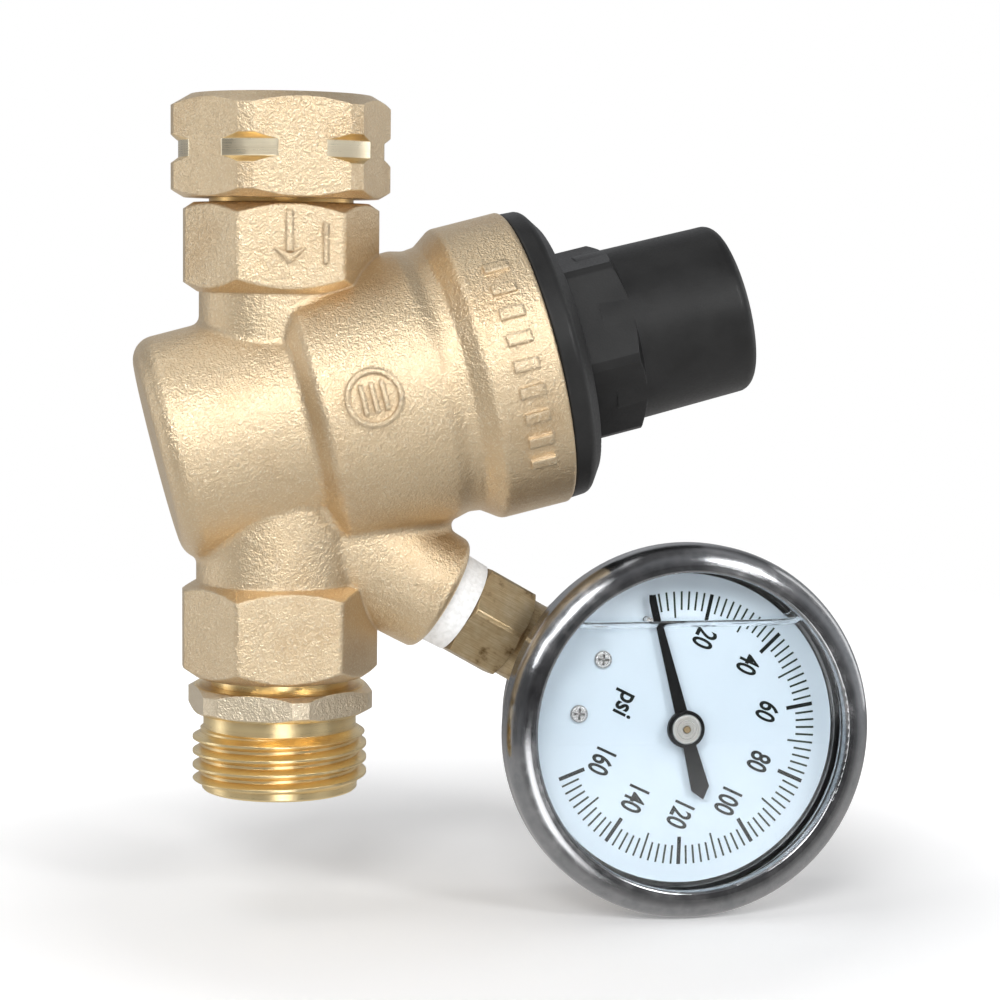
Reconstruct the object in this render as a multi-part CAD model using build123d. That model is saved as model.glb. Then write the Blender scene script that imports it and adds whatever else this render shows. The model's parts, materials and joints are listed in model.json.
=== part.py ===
"""Adjustable water pressure regulator with a swivel hose inlet, a hose outlet and a filled gauge.

All sizes are in millimetres. The water pipe runs along Z, and the origin is at the centre of the
swivel nut's mouth. +X points towards the adjusting end and the gauge, and the dial faces -Y.
Heights named "h" are measured up from the rim of the outlet.
"""
import os
from math import acos, atan2, cos, degrees, hypot, pi, radians, sin, tan

from build123d import *

# ------------------------------------------------------------------ main sizes
MOUTH_H = 106.4  # mouth of the swivel nut above the outlet rim
AXIS_H = 56.9  # where the chamber axis crosses the pipe axis
CHAMBER_TILT = 14.3  # the chamber axis rises towards +X, in degrees
PORT_H = 44.1  # where the gauge port axis crosses the pipe axis
PORT_DROP = 29.7  # the gauge port axis falls towards +X, in degrees
GAUGE_REACH = 69.7  # from the pipe axis to the gauge centre, along the port axis
GAUGE_ROLL = 3.6  # the dial is turned this far upwards about its stem, in degrees

# hose thread, 3/4 inch with 11.5 threads to the inch
HOSE_PITCH = 2.209
HOSE_MAJOR_R = 13.45
HOSE_MINOR_R = 12.2
PILOT_R = 12.0
NUT_MINOR_R = 12.5

# body casting
BOSS_ACROSS = 27.8
BOSS_HALF_WIDTH = 14.8
BARREL_R = 17.7
CHAMBER_R = 21.25
BAND_R = 23.1
BAND_END = 40.3
PORT_BOSS_R = 9.4
PORT_BOSS_END = 29.0
PISTON_BORE_R = 17.05
BONNET_BORE_R = 19.7

# gauge
BEZEL_R = 28.8
BEZEL_BACK = 12.2
LIP_R = 24.4
LIP_Z = 20.0
DIAL_Z = 12.07
DIAL_R = 23.9
DIAL_UP = 5.0  # the dial's top is turned this far from the stem axis
CASE_R = 24.2
CASE_BACK = -9.0
CASE_WALL = 1.0
RIM_R = 25.9  # outside of the case where it widens to hold the dial

# gauge movement
MODULE = 0.25
SECTOR_TEETH = 100
PINION_TEETH = 10
CENTRES = MODULE * (SECTOR_TEETH + PINION_TEETH) / 2
SECTOR_SIDE = 225.0
TAIL_LENGTH = 5.0
TUBE_R = 19.5
TIP_ANGLE = 262.0

TUBE_START = 165.0
PLATE_POSTS = [(-11.0, 3.5), (-11.0, -3.5), (3.2, -10.3)]
DIAL_SCREW_X = -16.26
DIAL_SCREW_Y = 4.55
STOP_ANGLE = 138.3
STOP_R = 17.7
POINTER_ANGLE = 134.3

# valve parts, all at rest with the valve open
STEM_R = 4.0
NECK_R = 2.6
SCREW_END = 68.3
BONNET_ACROSS = 27.0
TOWER_END = 73.3

# casting details
BLEND_R = 1.5
MARK_HEIGHT = 0.5


def up(height):
    """Z of a height above the outlet rim."""
    return height - MOUTH_H


CHAMBER = Plane(
    origin=(0, 0, up(AXIS_H)),
    x_dir=(-sin(radians(CHAMBER_TILT)), 0, cos(radians(CHAMBER_TILT))),
    z_dir=(cos(radians(CHAMBER_TILT)), 0, sin(radians(CHAMBER_TILT))),
)
PORT = Plane(
    origin=(0, 0, up(PORT_H)),
    x_dir=(sin(radians(PORT_DROP)), 0, cos(radians(PORT_DROP))),
    z_dir=(cos(radians(PORT_DROP)), 0, -sin(radians(PORT_DROP))),
)
STEM_DIR = Vector(cos(radians(PORT_DROP)), 0, -sin(radians(PORT_DROP)))
DIAL_NORMAL = Vector(
    sin(radians(GAUGE_ROLL)) * sin(radians(PORT_DROP)),
    -cos(radians(GAUGE_ROLL)),
    sin(radians(GAUGE_ROLL)) * cos(radians(PORT_DROP)),
)
GAUGE = Plane(
    origin=Vector(0, 0, up(PORT_H)) + STEM_DIR * GAUGE_REACH,
    x_dir=STEM_DIR,
    z_dir=DIAL_NORMAL,
)


# ------------------------------------------------------------------ helpers
def outline(corners):
    """Closed flat face through (x, y) or (x, y, rounding) corners, in the XY plane."""
    points = [Vector(corner[0], corner[1]) for corner in corners]
    turns = []
    for i, corner in enumerate(corners):
        here = points[i]
        rounding = corner[2] if len(corner) > 2 else 0
        if rounding == 0:
            turns.append((here, None, here))
            continue
        back = (points[i - 1] - here).normalized()
        ahead = (points[(i + 1) % len(points)] - here).normalized()
        half = acos(max(-1, min(1, back.dot(ahead)))) / 2
        reach = rounding / tan(half)
        middle = here + (back + ahead).normalized() * (rounding / sin(half) - rounding)
        turns.append((here + back * reach, middle, here + ahead * reach))
    edges = []
    for i, (start, middle, end) in enumerate(turns):
        if middle is not None:
            edges.append(ThreePointArc(start, middle, end).edge())
        following = turns[(i + 1) % len(turns)][0]
        if (following - end).length > 1e-5:
            edges.append(Line(end, following).edge())
    return make_face(edges)


def turned(corners, where=Plane.XY):
    """Solid of revolution through (radius, height) corners, about the normal of a plane."""
    face = Plane.XZ.location * outline(corners)
    return where.location * revolve(face, Axis.Z, 360)


def rod(radius, low, high, where=Plane.XY):
    """Plain round bar between two heights."""
    shape = Cylinder(radius, high - low, align=(Align.CENTER, Align.CENTER, Align.MIN))
    return where.location * (Pos(0, 0, low) * shape)


def tube(outer, inner, low, high, where=Plane.XY):
    """Plain round sleeve between two heights."""
    return rod(outer, low, high, where) - rod(inner, low - 1, high + 1, where)


def torus(ring, thickness, height, where=Plane.XY):
    """O-ring about the normal of a plane."""
    return where.location * (Pos(0, 0, height) * Torus(ring, thickness))


def prism(face, low, high, where=Plane.XY):
    """Flat face pushed out between two heights."""
    return where.location * (Pos(0, 0, low) * extrude(face, high - low))


def hexagon(across, turn=0.0):
    """Flat hexagon with one flat towards -Y, turned about its centre."""
    return Rot(0, 0, turn) * RegularPolygon(across / 2, 6, major_radius=False)


def hex_nut(across, low, high, limit, slope, turn=0.0, where=Plane.XY):
    """Hexagon bar with its corners turned to a limit radius and chamfered at both ends."""
    bar = prism(hexagon(across, turn), low, high)
    skin = turned(
        [
            (0, low),
            (limit - slope * 1.75, low),
            (limit, low + slope),
            (limit, high - slope),
            (limit - slope * 1.75, high),
            (0, high),
        ]
    )
    return where.location * (bar & skin)


def slanted(radius, start, end):
    """Round bar between two points."""
    axis = Vector(*end) - Vector(*start)
    return rod(radius, 0, axis.length, Plane(origin=start, z_dir=axis))


def thread_cutter(crest, root, pitch, low, high):
    """Helical groove of a thread, cut from the crest radius to the root radius."""
    depth = crest - root
    mouth = pitch * 0.42
    foot = pitch * 0.10
    over = 0.35
    spread = mouth + over * (mouth - foot) / depth
    base = crest + over
    path = Helix(pitch=pitch, height=high - low, radius=root)
    corners = [(base, -spread), (root, -foot), (root, foot), (base, spread)]
    profile = make_face(Polyline(*[(x, 0, z) for x, z in corners], close=True).edges())
    return Pos(0, 0, low) * sweep(profile, path=path, is_frenet=True)


# ------------------------------------------------------------------ body casting
def boss_plan(half_width):
    """Hexagon of the cast bosses, with its two side corners trimmed on the parting line."""
    flat = hexagon(BOSS_ACROSS) & Rectangle(half_width * 2, BOSS_ACROSS * 2)
    return fillet(flat.vertices(), 1.1)


def cast_boss(low, high, half_width, top_slope, foot_slope):
    """Hexagon boss with sloping ends; each slope is (inwards, along)."""
    bar = prism(boss_plan(half_width), low, high)
    limit = BOSS_ACROSS / 2 / cos(radians(30)) + 0.2
    skin = turned(
        [
            (0, low),
            (limit - foot_slope[0], low),
            (limit, low + foot_slope[1]),
            (limit, high - top_slope[1]),
            (limit - top_slope[0], high),
            (0, high),
        ]
    )
    return bar & skin


def body_core():
    """Chamber, pipe and gauge port of the casting, blended together."""
    chamber = turned(
        [
            (0, -19.5),
            (BARREL_R - 0.3, -19.5, 3.6),
            (BARREL_R, 2.4, 1.6),
            (CHAMBER_R - 0.2, 4.6, 1.8),
            (CHAMBER_R + 0.05, 22.4, 2.5),
            (CHAMBER_R - 0.5, 24.6, 2.5),
            (CHAMBER_R - 0.25, 26.6, 1.5),
            (BAND_R - 0.05, 29.5, 1.8),
            (BAND_R + 0.05, BAND_END, 0.5),
            (0, BAND_END),
        ],
        CHAMBER,
    )
    column = turned(
        [
            (0, up(30)),
            (12.9, up(30)),
            (12.9, up(44)),
            (12.5, up(56)),
            (12.5, up(79)),
            (0, up(79)),
        ]
    )
    port = turned(
        [
            (0, 6),
            (PORT_BOSS_R + 0.8, 6),
            (PORT_BOSS_R + 0.15, 26),
            (PORT_BOSS_R, PORT_BOSS_END, 1.2),
            (0, PORT_BOSS_END),
        ],
        PORT,
    )
    core = chamber + column + port
    seams = [edge for edge in core.edges() if edge.geom_type == GeomType.BSPLINE]
    return fillet(seams, BLEND_R)


def relief_marks():
    """Raised cast marks on the upper boss: a flow arrow pointing down and a bar beside it."""
    tip = up(81.2)
    shaft = Pos(-0.25, up(86)) * Rectangle(1.0, 6.0)
    head = make_face(
        Polyline((-2.7, tip + 2.4), (-0.25, tip), (2.2, tip + 2.4), (-0.25, tip + 1.4), close=True)
    )
    bar = Pos(5.15, up(84.2)) * Rectangle(0.7, 6.0)
    front = Plane(origin=(0, -BOSS_ACROSS / 2 + 0.8, 0), x_dir=(1, 0, 0), z_dir=(0, -1, 0))
    return [front.location * extrude(flat, 0.8 + MARK_HEIGHT) for flat in (shaft, head, bar)]


def ring_marks():
    """Raised ring with three plain bars inside, on the side of the chamber."""
    side = Plane(
        origin=CHAMBER.from_local_coords((1.9, 0, 12.3)),
        x_dir=CHAMBER.z_dir,
        z_dir=(0, -1, 0),
    )
    low = CHAMBER_R - 2.5
    flats = [Circle(4.35) - Circle(3.65)]
    for x in (-1.6, 0, 1.6):
        flats.append(Pos(x, 0) * Rectangle(0.7, 4.4))
    skin = turned([(0, 4), (CHAMBER_R + MARK_HEIGHT, 4), (CHAMBER_R + MARK_HEIGHT, 22), (0, 22)], CHAMBER)
    return [side.location * (Pos(0, 0, low) * extrude(flat, 4)) & skin for flat in flats]


def band_marks():
    """Row of plain raised bars around the broad band."""
    marks = []
    height = BAND_R + MARK_HEIGHT
    for i in range(9):
        bar = Pos(height - 1.5, 0, 35.1) * Box(3.0, 1.7, 3.8)
        marks.append(CHAMBER.location * (Rot(0, 0, 47 + 10 * i) * bar))
    return marks


def body_bores():
    """Water ways and machined bores of the casting, as a list of cutters."""
    sense_top = CHAMBER.from_local_coords((-14.3, 0, 19))
    sense_foot = CHAMBER.from_local_coords((-14.3, 0, 1))
    return [
        rod(9.7, up(78), up(95)),
        rod(7.5, up(73), up(79)),
        slanted(4.8, (0, 0, up(76)), (7.5, 0, up(60))),
        rod(9.7, up(10), up(27)),
        rod(7.5, up(26), up(41)),
        slanted(4.5, (0, 0, up(38)), (-7.2, 0, up(52))),
        rod(10.5, -16.2, -2.5, CHAMBER),
        rod(9.0, -3, 1, CHAMBER),
        rod(11.5, 0, 18.6, CHAMBER),
        rod(PISTON_BORE_R, 18.5, 32, CHAMBER),
        rod(BONNET_BORE_R, 31, 45, CHAMBER),
        slanted(1.2, sense_top, sense_foot),
        rod(6.75, 17, 40, PORT),
        rod(2.5, 0, 18, PORT),
    ]


def make_body():
    """Brass casting with its bores, seats and raised marks."""
    body = body_core()
    body += cast_boss(up(76.7), up(90.2), BOSS_HALF_WIDTH, (2.9, 1.9), (3.5, 2.3))
    body += cast_boss(up(17.9), up(32.4), BOSS_HALF_WIDTH + 0.15, (3.3, 2.0), (3.0, 2.1))
    for mark in relief_marks() + ring_marks() + band_marks():
        body += mark
    for cutter in body_bores():
        body -= cutter
    return body


# ------------------------------------------------------------------ inlet and outlet
def make_inlet_tail():
    """Flanged tail that is screwed into the body and carries the swivel nut."""
    tail = turned(
        [
            (7.5, up(78.4)),
            (9.65, up(78.4), 0.4),
            (9.65, up(90.25)),
            (10.98, up(90.25)),
            (10.98, up(92.9)),
            (12.2, up(92.9)),
            (12.2, up(94.9), 0.3),
            (7.5, up(94.9)),
        ]
    )
    return tail - tube(11, 8.45, up(87.9), up(89.3))


def make_swivel_nut():
    """Hexagon hose nut with a turned groove round its corners, bored to its thread's crests."""
    low = up(90.9)
    high = 0
    bar = prism(hexagon(30.3, 5.8), low, high)
    limit = 16.8
    middle = up(98.1)
    skin = turned(
        [
            (0, low),
            (limit - 2.0, low),
            (limit, low + 1.15),
            (limit, middle - 2.15),
            (15.62, middle - 1.25),
            (15.62, middle + 1.25),
            (limit, middle + 2.15),
            (limit, high - 1.75),
            (limit - 3.0, high),
            (0, high),
        ]
    )
    nut = bar & skin
    hole = turned(
        [
            (0, low - 1),
            (11.05, low - 1),
            (11.05, up(92.6)),
            (13.0, up(92.6)),
            (13.0, up(98.2)),
            (NUT_MINOR_R, up(98.7)),
            (NUT_MINOR_R, high - 0.4),
            (NUT_MINOR_R + 0.5, high),
            (NUT_MINOR_R + 0.5, high + 1),
            (0, high + 1),
        ]
    )
    return nut - hole


def make_hose_washer():
    """Flat rubber washer that seals the hose end."""
    low = up(94.95)
    high = up(98.0)
    return turned([(8.0, low, 0.4), (12.1, low, 0.6), (12.1, high, 0.6), (8.0, high, 0.4)])


def make_filter_screen():
    """Shallow domed strainer held inside the washer."""
    low = up(95.0)
    dome = 14.0
    centre = low + 2.6 - dome
    shell = Pos(0, 0, centre) * (Sphere(dome) - Sphere(dome - 0.45))
    shell &= rod(7.7, low, low + 5)
    screen = shell + tube(7.9, 6.9, low, low + 0.9)
    for ring in range(1, 5):
        for i in range(ring * 6):
            angle = 2 * pi * i / (ring * 6)
            spot = Pos(ring * 1.55 * cos(angle), ring * 1.55 * sin(angle), 0)
            screen -= spot * rod(0.5, low + 0.95, low + 5)
    return screen - rod(0.5, low + 0.95, low + 5)


def make_outlet_nipple():
    """Male hose nipple with a hexagon flange, screwed into the foot of the body."""
    turn = turned(
        [
            (7.9, up(0.0)),
            (HOSE_MAJOR_R - 1.1, up(0.0), 0.4),
            (HOSE_MAJOR_R, up(0.9), 0.2),
            (HOSE_MAJOR_R, up(8.7)),
            (11.8, up(9.8)),
            (11.8, up(13.0)),
            (10.6, up(13.0)),
            (10.6, up(17.85)),
            (9.65, up(17.85)),
            (9.65, up(26.8), 0.4),
            (7.9, up(26.8)),
        ]
    )
    around_pilot = turned(
        [
            (PILOT_R - 0.25, up(-1.0)),
            (20, up(-1.0)),
            (20, up(1.8)),
            (PILOT_R + 1.9, up(1.8)),
            (PILOT_R, up(1.25)),
            (PILOT_R, up(0.25)),
            (PILOT_R - 0.25, up(0.0)),
        ]
    )
    flange = hex_nut(26.4, up(12.2), up(16.35), 14.55, 0.8, 6.5 + 30)
    nipple = turn - thread_cutter(HOSE_MAJOR_R, HOSE_MINOR_R, HOSE_PITCH, up(-2.9), up(10.4))
    nipple -= around_pilot
    nipple += flange - rod(9, up(10), up(20))
    return nipple - tube(11, 8.45, up(19.3), up(20.7))


# ------------------------------------------------------------------ valve and spring
def make_valve_cage():
    """Seat ring and stem guide joined by four pillars."""
    cage = tube(11.4, 5.2, 0, 3, CHAMBER)
    cage += tube(8.9, 5.2, -1.8, 0.5, CHAMBER)
    cage += tube(6.4, 5.2, -2.6, -1.5, CHAMBER)
    cage += tube(11.4, 4.08, 12.5, 17, CHAMBER)
    for i in range(4):
        pillar = Rot(0, 0, 45 + 90 * i) * Pos(9.9, 0, 7.75) * Box(2.4, 2.8, 11.5)
        cage += CHAMBER.location * pillar
    cage -= tube(12, 10.2, 0.9, 2.3, CHAMBER)
    return cage - tube(5.5, 3, 14.0, 15.6, CHAMBER)


def make_piston():
    """Sensing piston with its stem and the stud that carries the valve disc."""
    return turned(
        [
            (0, -11.6),
            (1.6, -11.6),
            (2.0, -11.2),
            (2.0, -5.1),
            (NECK_R, -5.1),
            (NECK_R, 10.4),
            (STEM_R, 11.4),
            (STEM_R, 19.2),
            (17.0, 19.2, 0.4),
            (17.0, 22.0),
            (15.1, 22.0),
            (15.1, 24.6),
            (17.0, 24.6),
            (17.0, 27.0, 0.4),
            (7.6, 27.0),
            (7.6, 30.0, 0.6),
            (0, 30.0),
        ],
        CHAMBER,
    )


def make_disc_holder():
    """Brass cup behind the rubber valve disc."""
    return tube(8.4, 2.05, -8.6, -7.4, CHAMBER) + tube(8.4, 7.65, -7.5, -6.2, CHAMBER)


def make_disc_nut():
    """Small hexagon nut at the end of the stem."""
    nut = hex_nut(5.5, -10.9, -8.65, 3.15, 0.25, 0, CHAMBER)
    return nut - rod(2.05, -12, -8, CHAMBER)


def make_spring():
    """Main spring between the piston and its upper seat."""
    low = 28.3
    high = 55.7
    path = Helix(pitch=(high - low) / 6.5, height=high - low, radius=9.2)
    start = path @ 0
    section = Plane(origin=start, z_dir=path % 0) * Circle(1.2)
    coil = sweep(section, path=path, is_frenet=True)
    return CHAMBER.location * (Pos(0, 0, low) * coil)


def flatted(radius, half_flat):
    """Circle with two flats."""
    return Circle(radius) & Rectangle(half_flat * 2, radius * 3)


def make_spring_seat():
    """Upper spring seat, kept from turning by two flats."""
    seat = prism(flatted(11.4, 10.5), 57, 59.95, CHAMBER)
    return seat + rod(7.6, 54.6, 57.2, CHAMBER)


def make_adjusting_screw():
    """Slotted brass screw recessed in the end of the bonnet."""
    screw = turned(
        [
            (0, 60),
            (7.2, 60),
            (8.0, 60.8),
            (8.0, SCREW_END - 0.7),
            (7.3, SCREW_END),
            (0, SCREW_END),
        ]
    )
    slot = Pos(0, 0, SCREW_END - 1.1) * Box(2.2, 20, 2.6)
    return CHAMBER.location * (screw - slot)


def make_bonnet():
    """Black bonnet with a round flange, a hexagon and a round tower."""
    bonnet = turned(
        [
            (0, 31.2),
            (BONNET_BORE_R - 0.1, 31.2, 0.5),
            (BONNET_BORE_R - 0.1, BAND_END + 0.05),
            (22.75, BAND_END + 0.05, 0.4),
            (22.6, 43.3, 1.3),
            (19.8, 45.3, 0.8),
            (0, 45.3),
        ],
        CHAMBER,
    )
    bonnet += hex_nut(BONNET_ACROSS, 44.5, 54.8, 15.2, 0.9, -20, CHAMBER)
    bonnet += turned([(0, 50), (13.65, 50), (13.3, TOWER_END, 1.9), (0, TOWER_END)], CHAMBER)
    bonnet -= prism(flatted(11.9, 10.9), 30, 63.6, CHAMBER)
    bonnet -= rod(8.1, 63, 76, CHAMBER)
    bonnet -= tube(22.1, 20.7, 40, 41.3, CHAMBER)
    return bonnet


# ------------------------------------------------------------------ gauge
def dial_screw_spots():
    """Places of the two dial screws, in the plan of the gauge."""
    return [Rot(0, 0, DIAL_UP) * Pos(DIAL_SCREW_X, y, 0) for y in (-DIAL_SCREW_Y, DIAL_SCREW_Y)]


def make_gauge_socket():
    """Aged brass stem with its hexagon, and the block inside the case."""
    socket = turned(
        [
            (0, 18.5),
            (6.2, 18.5),
            (6.6, 19.5),
            (6.65, 33.4),
            (0, 33.4),
        ],
        PORT,
    )
    socket += hex_nut(14.1, 33.1, 42.0, 7.95, 0.45, 24.4, PORT)
    socket += rod(6.5, 41, 49, PORT)
    socket += GAUGE.location * (Pos(-15.4, 0, 0.1) * Box(12.8, 14, 10.2))
    for spot in dial_screw_spots():
        socket += GAUGE.location * (spot * rod(2.2, 5, 11.4))
        socket -= GAUGE.location * (spot * rod(1.1, 3, 12))
    for x, y in PLATE_POSTS[:2]:
        socket -= GAUGE.location * (Pos(x, y, 0) * rod(0.65, 2, 6))
    socket -= rod(2.0, 17, 54, PORT)
    return socket - tube_arc(1.25, 4.05)


def tube_arc(half_radial, half_height):
    """Ring sector with the plan of the pressure tube."""
    face = Plane.XZ.location * (Pos(TUBE_R, 0) * Rectangle(half_radial * 2, half_height * 2))
    sweep_angle = TUBE_START - (TIP_ANGLE - 360) - 6.5
    ring = revolve(face, Axis.Z, sweep_angle)
    return GAUGE.location * (Rot(0, 0, TIP_ANGLE - 360 + 6.5) * ring)


def make_bourdon_tube():
    """Flat curved tube that straightens under pressure."""
    return tube_arc(1.2, 4.0) - tube_arc(0.8, 3.6)


def tip_point():
    """Plan position of the tube's tip."""
    return TUBE_R * cos(radians(TIP_ANGLE)), TUBE_R * sin(radians(TIP_ANGLE))


def sector_point():
    """Plan position of the sector's pivot."""
    return CENTRES * cos(radians(SECTOR_SIDE)), CENTRES * sin(radians(SECTOR_SIDE))


def tail_point():
    """Plan position of the pin on the sector's tail."""
    reach = CENTRES + TAIL_LENGTH
    return reach * cos(radians(SECTOR_SIDE)), reach * sin(radians(SECTOR_SIDE))


def make_tube_tip():
    """Closed tip of the pressure tube, with the pin for the link."""
    x, y = tip_point()
    tip = Rot(0, 0, TIP_ANGLE) * Pos(TUBE_R, 0, 1.8) * Box(2.6, 3.2, 11.6)
    return GAUGE.location * (tip + Pos(x, y, 0) * rod(0.4, 7.5, 9.0))


def make_link():
    """Thin link between the tube's tip and the sector's tail."""
    ax, ay = tail_point()
    bx, by = tip_point()
    length = hypot(bx - ax, by - ay)
    bar = Pos(length / 2, 0) * Rectangle(length, 1.0)
    flat = bar + Circle(1.2) + Pos(length, 0) * Circle(1.6)
    flat = flat - Circle(0.46) - Pos(length, 0) * Circle(0.9)
    shape = Pos(ax, ay, 8.1) * Rot(0, 0, degrees(atan2(by - ay, bx - ax))) * extrude(flat, 0.5)
    return GAUGE.location * shape


def involute(angle):
    """Involute of a pressure angle in radians."""
    return tan(angle) - angle


def tooth_points(teeth, tip_r, root_r, centres):
    """Plan points of involute teeth at the given centre angles, in degrees."""
    pitch_r = MODULE * teeth / 2
    base_r = pitch_r * cos(radians(20))
    half_pitch_tooth = pi / (2 * teeth) - 0.03 / pitch_r
    points = []
    for centre in centres:
        flank = []
        for step in range(5):
            radius = root_r + (tip_r - root_r) * step / 4
            angle = 0 if radius <= base_r else acos(base_r / radius)
            flank.append((radius, half_pitch_tooth + involute(radians(20)) - involute(angle)))
        for radius, half in flank:
            points.append((radius, radians(centre) - half))
        for radius, half in reversed(flank):
            points.append((radius, radians(centre) + half))
    return [(r * cos(a), r * sin(a)) for r, a in points]


def make_sector_gear():
    """Toothed sector with its arbor, tail and tail pin."""
    towards = SECTOR_SIDE - 180
    step = 360 / SECTOR_TEETH
    centres = [towards + step * (i - 10.5) for i in range(13)]
    pitch_r = MODULE * SECTOR_TEETH / 2
    points = tooth_points(SECTOR_TEETH, pitch_r + 0.55 * MODULE, pitch_r - 1.25 * MODULE, centres)
    wedge = make_face(Polyline(*([(0, 0)] + points), close=True))
    wedge -= Rot(0, 0, towards - 14) * (Pos(7.2, 0) * Circle(1.9))
    tail = Rot(0, 0, SECTOR_SIDE) * (Pos(TAIL_LENGTH / 2, 0) * Rectangle(TAIL_LENGTH, 1.8))
    end = Rot(0, 0, SECTOR_SIDE) * (Pos(TAIL_LENGTH, 0) * Circle(1.2))
    plate = extrude(wedge + tail + end + Circle(1.7), 0.7)
    gear = Pos(0, 0, 7.2) * plate + rod(0.6, 5.3, 10.1) + rod(1.4, 6.4, 8.8)
    pin = Rot(0, 0, SECTOR_SIDE) * Pos(TAIL_LENGTH, 0, 0) * rod(0.4, 7.5, 8.9)
    x, y = sector_point()
    return GAUGE.location * (Pos(x, y, 0) * (gear + pin))


def make_pointer_spindle():
    """Spindle that carries the pinion, the hairspring's inner end and the pointer."""
    step = 360 / PINION_TEETH
    centres = [SECTOR_SIDE + step * i for i in range(PINION_TEETH)]
    pitch_r = MODULE * PINION_TEETH / 2
    points = tooth_points(PINION_TEETH, pitch_r + MODULE, pitch_r - 0.8 * MODULE, centres)
    pinion = extrude(make_face(Polyline(*points, close=True)), 1.5)
    return GAUGE.location * (rod(0.55, 5.3, 15.05) + Pos(0, 0, 6.8) * pinion)


def plate_plan():
    """Plan of the two movement plates."""
    return make_face(Polyline((-13, 5.3), (3.2, 5.3), (5.0, -12.5), (-13, -12.0), close=True))


def make_back_plate():
    """Back movement plate with its three pillars."""
    x, y = sector_point()
    plate = Pos(0, 0, 5.25) * extrude(plate_plan(), 0.75)
    for px, py in PLATE_POSTS:
        plate += Pos(px, py, 0) * rod(1.2, 5.8, 9.4)
        plate -= Pos(px, py, 0) * rod(0.65, 4, 10)
    plate -= rod(0.6, 4, 8)
    return GAUGE.location * (plate - Pos(x, y, 0) * rod(0.65, 4, 8))


def make_front_plate():
    """Front movement plate."""
    x, y = sector_point()
    plate = Pos(0, 0, 9.45) * extrude(plate_plan(), 0.75)
    for px, py in PLATE_POSTS:
        plate -= Pos(px, py, 0) * rod(0.65, 8, 12)
    plate -= rod(0.6, 8, 12)
    return GAUGE.location * (plate - Pos(x, y, 0) * rod(0.65, 8, 12))


def make_movement_screws():
    """Three small screws through the movement's pillars."""
    screws = []
    for px, py in PLATE_POSTS:
        screw = rod(0.6, 6.4, 10.3) + rod(1.2, 10.2, 10.85)
        screw -= Pos(0, 0, 10.85) * Box(0.35, 3, 0.5)
        screws.append(GAUGE.location * (Pos(px, py, 0) * screw))
    return Compound(screws)


def make_hairspring():
    """Flat spiral spring that takes up the play of the movement."""
    turns = 3.0
    steps = 90
    inner = []
    outer = []
    for i in range(steps + 1):
        angle = 2 * pi * turns * i / steps
        radius = 0.75 + 2.6 * i / steps
        inner.append(((radius - 0.06) * cos(angle), (radius - 0.06) * sin(angle)))
        outer.append(((radius + 0.06) * cos(angle), (radius + 0.06) * sin(angle)))
    face = make_face(Polyline(*(inner + outer[::-1]), close=True))
    return GAUGE.location * (Pos(0, 0, 8.5) * extrude(face, 0.4))


def make_gauge_case():
    """Steel case, with holes for the stem and the fill plug."""
    case = turned(
        [
            (0, CASE_BACK),
            (CASE_R, CASE_BACK, 3.5),
            (CASE_R, 9.3, 1.0),
            (RIM_R, 11.2),
            (RIM_R, 13.4),
            (27.7, 13.4),
            (27.7, 15.0),
            (RIM_R - CASE_WALL, 15.0),
            (RIM_R - CASE_WALL, 11.4),
            (CASE_R - CASE_WALL, 9.7),
            (CASE_R - CASE_WALL, CASE_BACK + 1.2, 2.5),
            (0, CASE_BACK + 1.2),
        ],
        GAUGE,
    )
    case -= rod(6.6, 40, 50, PORT)
    return case - GAUGE.location * (Rot(0, 90, 0) * rod(4.1, 20, 30))


def make_fill_plug():
    """Rubber plug of the filling hole, on the side of the case away from the stem."""
    inside = CASE_R - CASE_WALL
    plug = turned(
        [
            (0, inside - 1.3),
            (4.7, inside - 1.3, 0.5),
            (4.7, inside - 0.2),
            (4.05, inside - 0.2),
            (4.05, CASE_R + 0.1),
            (0, CASE_R + 0.1),
        ]
    )
    cap = turned([(0, CASE_R + 0.08), (5.2, CASE_R + 0.1), (4.6, CASE_R + 1.6, 0.5), (0, CASE_R + 1.6)])
    case_skin = rod(CASE_R + 0.05, -10, 10) - rod(inside - 0.05, -11, 11)
    side = GAUGE.location * (Rot(0, 90, 0) * (plug + cap))
    return side - (GAUGE.location * case_skin - GAUGE.location * (Rot(0, 90, 0) * rod(4.05, 18, 30)))


def make_bezel():
    """Polished ring crimped over the case and the window."""
    return turned(
        [
            (LIP_R, 18.3),
            (LIP_R, LIP_Z, 0.5),
            (BEZEL_R, LIP_Z, 3.2),
            (BEZEL_R, BEZEL_BACK, 2.0),
            (26.1, BEZEL_BACK),
            (26.1, 13.25),
            (27.9, 13.25),
            (27.9, 18.3),
        ],
        GAUGE,
    )


def make_dial():
    """Round dial plate."""
    dial = rod(DIAL_R, DIAL_Z - 0.6, DIAL_Z) - rod(2.0, 10, 13)
    for spot in dial_screw_spots():
        dial -= spot * rod(1.15, 10, 13)
    dial -= Rot(0, 0, STOP_ANGLE) * Pos(STOP_R, 0, 0) * rod(0.6, 10, 13)
    return GAUGE.location * dial


def make_dial_screws():
    """Two cross-slotted screws that hold the dial."""
    screws = []
    for spot in dial_screw_spots():
        screw = rod(1.05, 6, DIAL_Z + 0.1)
        screw += turned([(0, DIAL_Z), (1.4, DIAL_Z), (1.4, DIAL_Z + 0.55, 0.35), (0, DIAL_Z + 0.55)])
        for turn in (20, 110):
            screw -= Rot(0, 0, turn) * Pos(0, 0, DIAL_Z + 0.55) * Box(1.7, 0.32, 0.6)
        screws.append(GAUGE.location * (spot * screw))
    return Compound(screws)


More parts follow.
